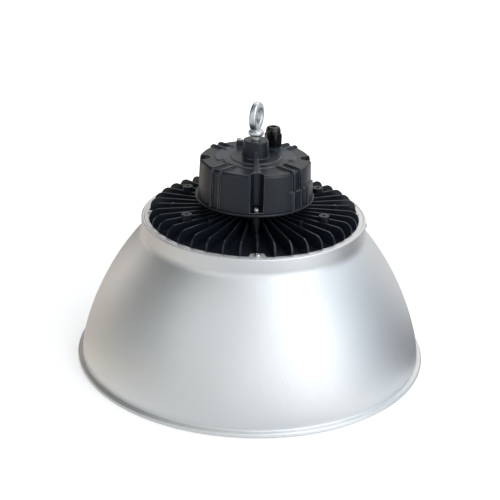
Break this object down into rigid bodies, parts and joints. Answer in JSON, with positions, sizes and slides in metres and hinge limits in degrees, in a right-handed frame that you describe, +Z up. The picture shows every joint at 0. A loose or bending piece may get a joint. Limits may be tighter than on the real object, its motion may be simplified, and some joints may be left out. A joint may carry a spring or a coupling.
{
  "type": "high bay light",
  "caption": "Hanging high bay light: finned heatsink with a drum-shaped driver housing, eye bolt and cable gland above a wide bell reflector.",
  "frame": {"origin": "centre of the reflector's rim, in the plane of its underside", "axes": "+Z up along the light's axis to the eye bolt, -Y towards the front, +X to the right seen from the front"},
  "size_m": [0.45, 0.4499, 0.3373],
  "materials": {
    "spun_aluminium": "satin",
    "black_casting": "satin",
    "zinc_plate": "satin",
    "stainless": "satin",
    "black_steel": "satin",
    "black_nylon": "gloss",
    "black_rubber": "matte",
    "grey_silicone": "matte",
    "clear_plate": "gloss",
    "white_board": "satin",
    "phosphor": "matte",
    "green_board": "satin",
    "ferrite": "matte",
    "yellow_tape": "gloss",
    "can_sleeve": "gloss",
    "copper_wire": "gloss",
    "film_case": "satin",
    "terminal_green": "satin",
    "white_plastic": "satin",
    "lead_sheath": "matte"
  },
  "bodies": {
    "root": {"reflector": "spun_aluminium", "reflector_screws": "stainless", "reflector_side_screw": "black_steel", "heatsink": "black_casting", "thermal_pad": "grey_silicone", "led_board": "white_board", "led_board_screws": "stainless", "led_packages": "phosphor", "led_connector": "white_plastic", "lens_gasket": "grey_silicone", "lens_plate": "clear_plate", "lens_ring": "black_casting", "lens_ring_screws": "stainless", "driver_base_cover": "black_casting", "housing_seal": "black_rubber", "driver_housing": "black_casting", "housing_screws": "stainless", "housing_washers": "stainless", "earth_screw": "stainless", "eye_bolt": "zinc_plate", "eye_bolt_washer": "zinc_plate", "eye_bolt_nut": "zinc_plate", "gland_body": "black_nylon", "gland_cap": "black_nylon", "gland_seal": "black_rubber", "gland_gasket": "black_rubber", "gland_locknut": "black_nylon", "driver_board": "green_board", "driver_board_screws": "stainless", "transformer_core": "ferrite", "transformer_winding": "yellow_tape", "smoothing_capacitors": "can_sleeve", "output_choke": "copper_wire", "film_capacitor": "film_case", "input_terminal": "terminal_green", "output_lead": "lead_sheath", "lead_grommet": "black_rubber"}
  },
  "joints": []
}
